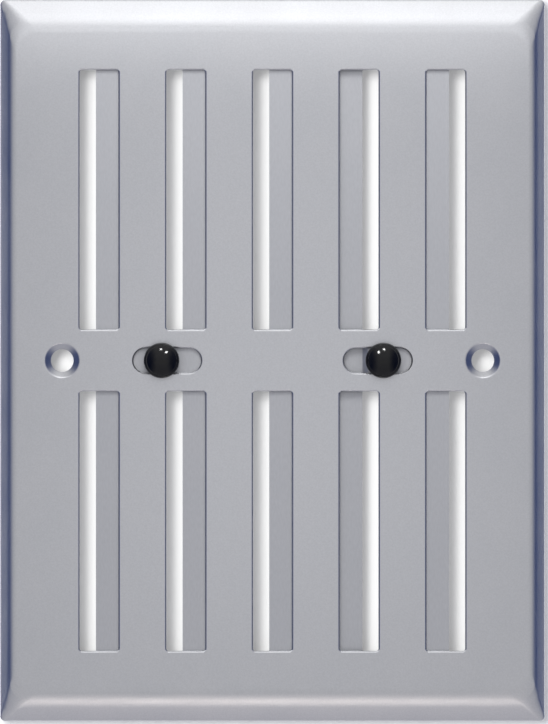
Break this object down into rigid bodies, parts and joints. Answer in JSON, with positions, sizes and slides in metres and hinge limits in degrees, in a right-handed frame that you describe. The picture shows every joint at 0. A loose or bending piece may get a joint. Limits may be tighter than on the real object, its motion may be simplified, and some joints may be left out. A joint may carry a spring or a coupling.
{
  "type": "hit-and-miss ventilator panel",
  "caption": "Pressed sheet-metal wall ventilator with rows of upright slots, opened and closed from the room by sliding shutters with small round knobs.",
  "frame": {"origin": "middle of the plate's outline, on the wall plane that its rim stands on", "axes": "+Z out of the wall into the room, +Y up the plate along its long side, +X to the right as seen from the room"},
  "size_m": [0.151, 0.2, 0.0131],
  "materials": {
    "plate_aluminium": "satin anodised",
    "shutter_aluminium": "mill finish sheet",
    "black_plastic": "polished moulded",
    "brass": "turned",
    "nylon": "moulded",
    "plated_steel": "zinc plated"
  },
  "bodies": {
    "panel": {"front_plate": "plate_aluminium"},
    "left_slide": {"left_shutter": "shutter_aluminium", "left_knob": "black_plastic", "left_insert": "brass", "left_bush": "nylon", "left_washer": "plated_steel", "left_screw": "plated_steel"},
    "right_slide": {"right_shutter": "shutter_aluminium", "right_knob": "black_plastic", "right_insert": "brass", "right_bush": "nylon", "right_washer": "plated_steel", "right_screw": "plated_steel"}
  },
  "joints": [
    {"name": "left_shutter_slide", "type": "slide", "parent": "panel", "child": "left_slide", "axis": [1, 0, 0], "range_m": [-0.00475, 0.00725]},
    {"name": "right_shutter_slide", "type": "slide", "parent": "panel", "child": "right_slide", "axis": [1, 0, 0], "range_m": [-0.00725, 0.00475]}
  ]
}
